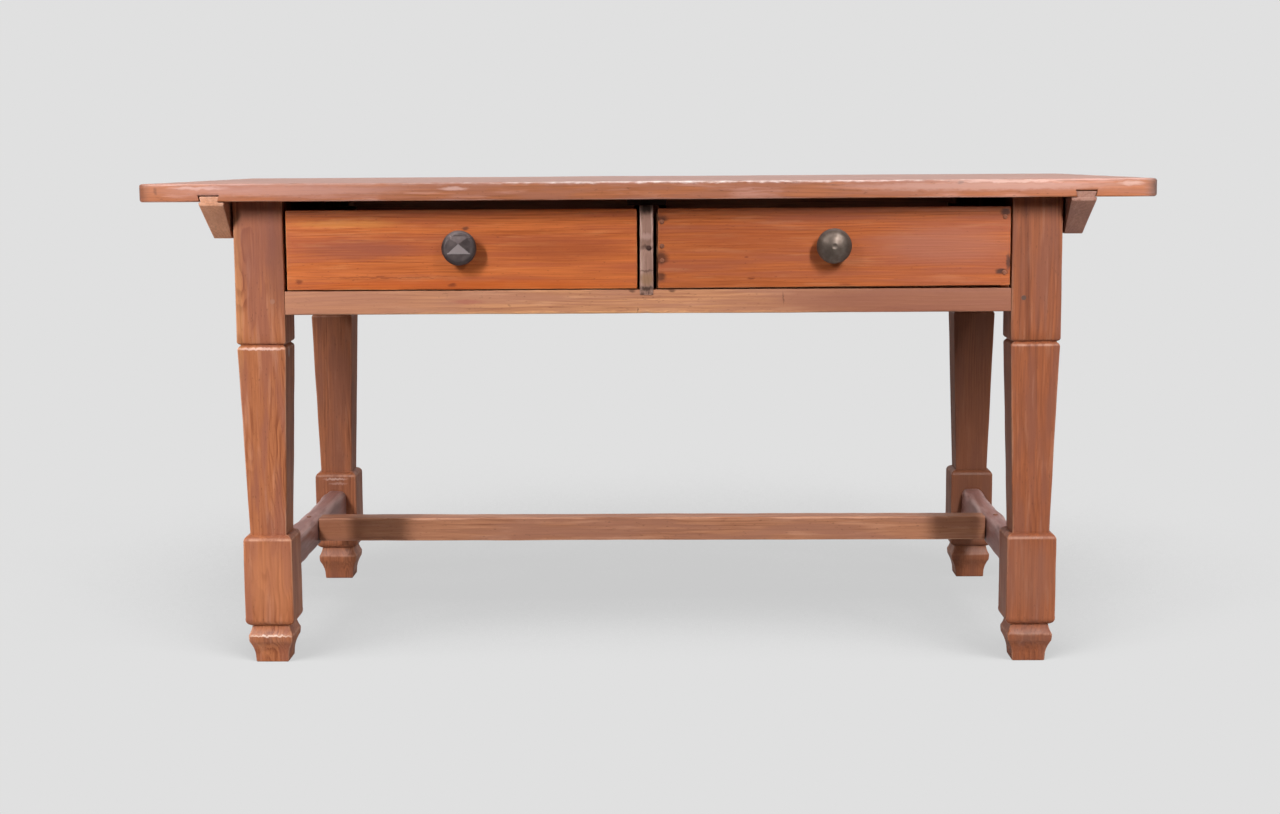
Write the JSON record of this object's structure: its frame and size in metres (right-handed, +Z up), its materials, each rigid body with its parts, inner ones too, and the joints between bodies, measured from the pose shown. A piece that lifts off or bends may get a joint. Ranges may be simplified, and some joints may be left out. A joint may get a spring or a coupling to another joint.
{
  "type": "kitchen table",
  "caption": "Old wooden kitchen table with a board top on dovetailed battens, tapered square legs, an H-shaped stretcher and side-by-side drawers on wooden runners.",
  "frame": {"origin": "on the floor, under the middle of the top", "axes": "+X along the table to the right as seen from its drawer side, +Y away from that viewer, +Z up"},
  "size_m": [1.59, 0.82, 0.78],
  "materials": {
    "top_wood": "worn, waxed",
    "frame_wood": "worn, waxed",
    "drawer_front_wood": "waxed",
    "divider_wood": "worn, bare",
    "inner_wood": "bare, planed",
    "peg_wood": "worn end grain",
    "knob_iron": "patinated",
    "nail_iron": "rusted"
  },
  "bodies": {
    "frame": {"apron_left": "frame_wood", "apron_rear": "frame_wood", "apron_right": "frame_wood", "batten_left": "frame_wood", "batten_pegs": "peg_wood", "batten_right": "frame_wood", "divider_nail": "nail_iron", "drawer_divider": "divider_wood", "drawer_stops": "inner_wood", "front_rail": "frame_wood", "guide_centre": "inner_wood", "guide_left": "inner_wood", "guide_right": "inner_wood", "kicker": "inner_wood", "leg_front_left": "frame_wood", "leg_front_right": "frame_wood", "leg_rear_left": "frame_wood", "leg_rear_right": "frame_wood", "rail_pegs": "peg_wood", "rear_apron_pegs": "peg_wood", "runner_centre": "inner_wood", "runner_left": "inner_wood", "runner_right": "inner_wood", "side_apron_pegs": "peg_wood", "stretcher_left": "frame_wood", "stretcher_long": "frame_wood", "stretcher_pegs": "peg_wood", "stretcher_right": "frame_wood", "top_board_back": "top_wood", "top_board_front": "top_wood", "top_board_middle": "top_wood"},
    "left_drawer": {"left_drawer_back": "inner_wood", "left_drawer_bottom": "inner_wood", "left_drawer_bottom_brads": "nail_iron", "left_drawer_front": "drawer_front_wood", "left_drawer_knob": "knob_iron", "left_drawer_knob_nut": "knob_iron", "left_drawer_side_brads": "nail_iron", "left_drawer_side_left": "inner_wood", "left_drawer_side_right": "inner_wood"},
    "right_drawer": {"right_drawer_back": "inner_wood", "right_drawer_bottom": "inner_wood", "right_drawer_bottom_brads": "nail_iron", "right_drawer_front": "drawer_front_wood", "right_drawer_front_nails": "nail_iron", "right_drawer_knob": "knob_iron", "right_drawer_knob_nut": "knob_iron", "right_drawer_side_brads": "nail_iron", "right_drawer_side_left": "inner_wood", "right_drawer_side_right": "inner_wood"}
  },
  "joints": [
    {"name": "left_drawer_slide", "type": "slide", "parent": "frame", "child": "left_drawer", "axis": [0, -1, 0], "range_m": [0, 0.42]},
    {"name": "right_drawer_slide", "type": "slide", "parent": "frame", "child": "right_drawer", "axis": [0, -1, 0], "range_m": [0, 0.42]}
  ]
}
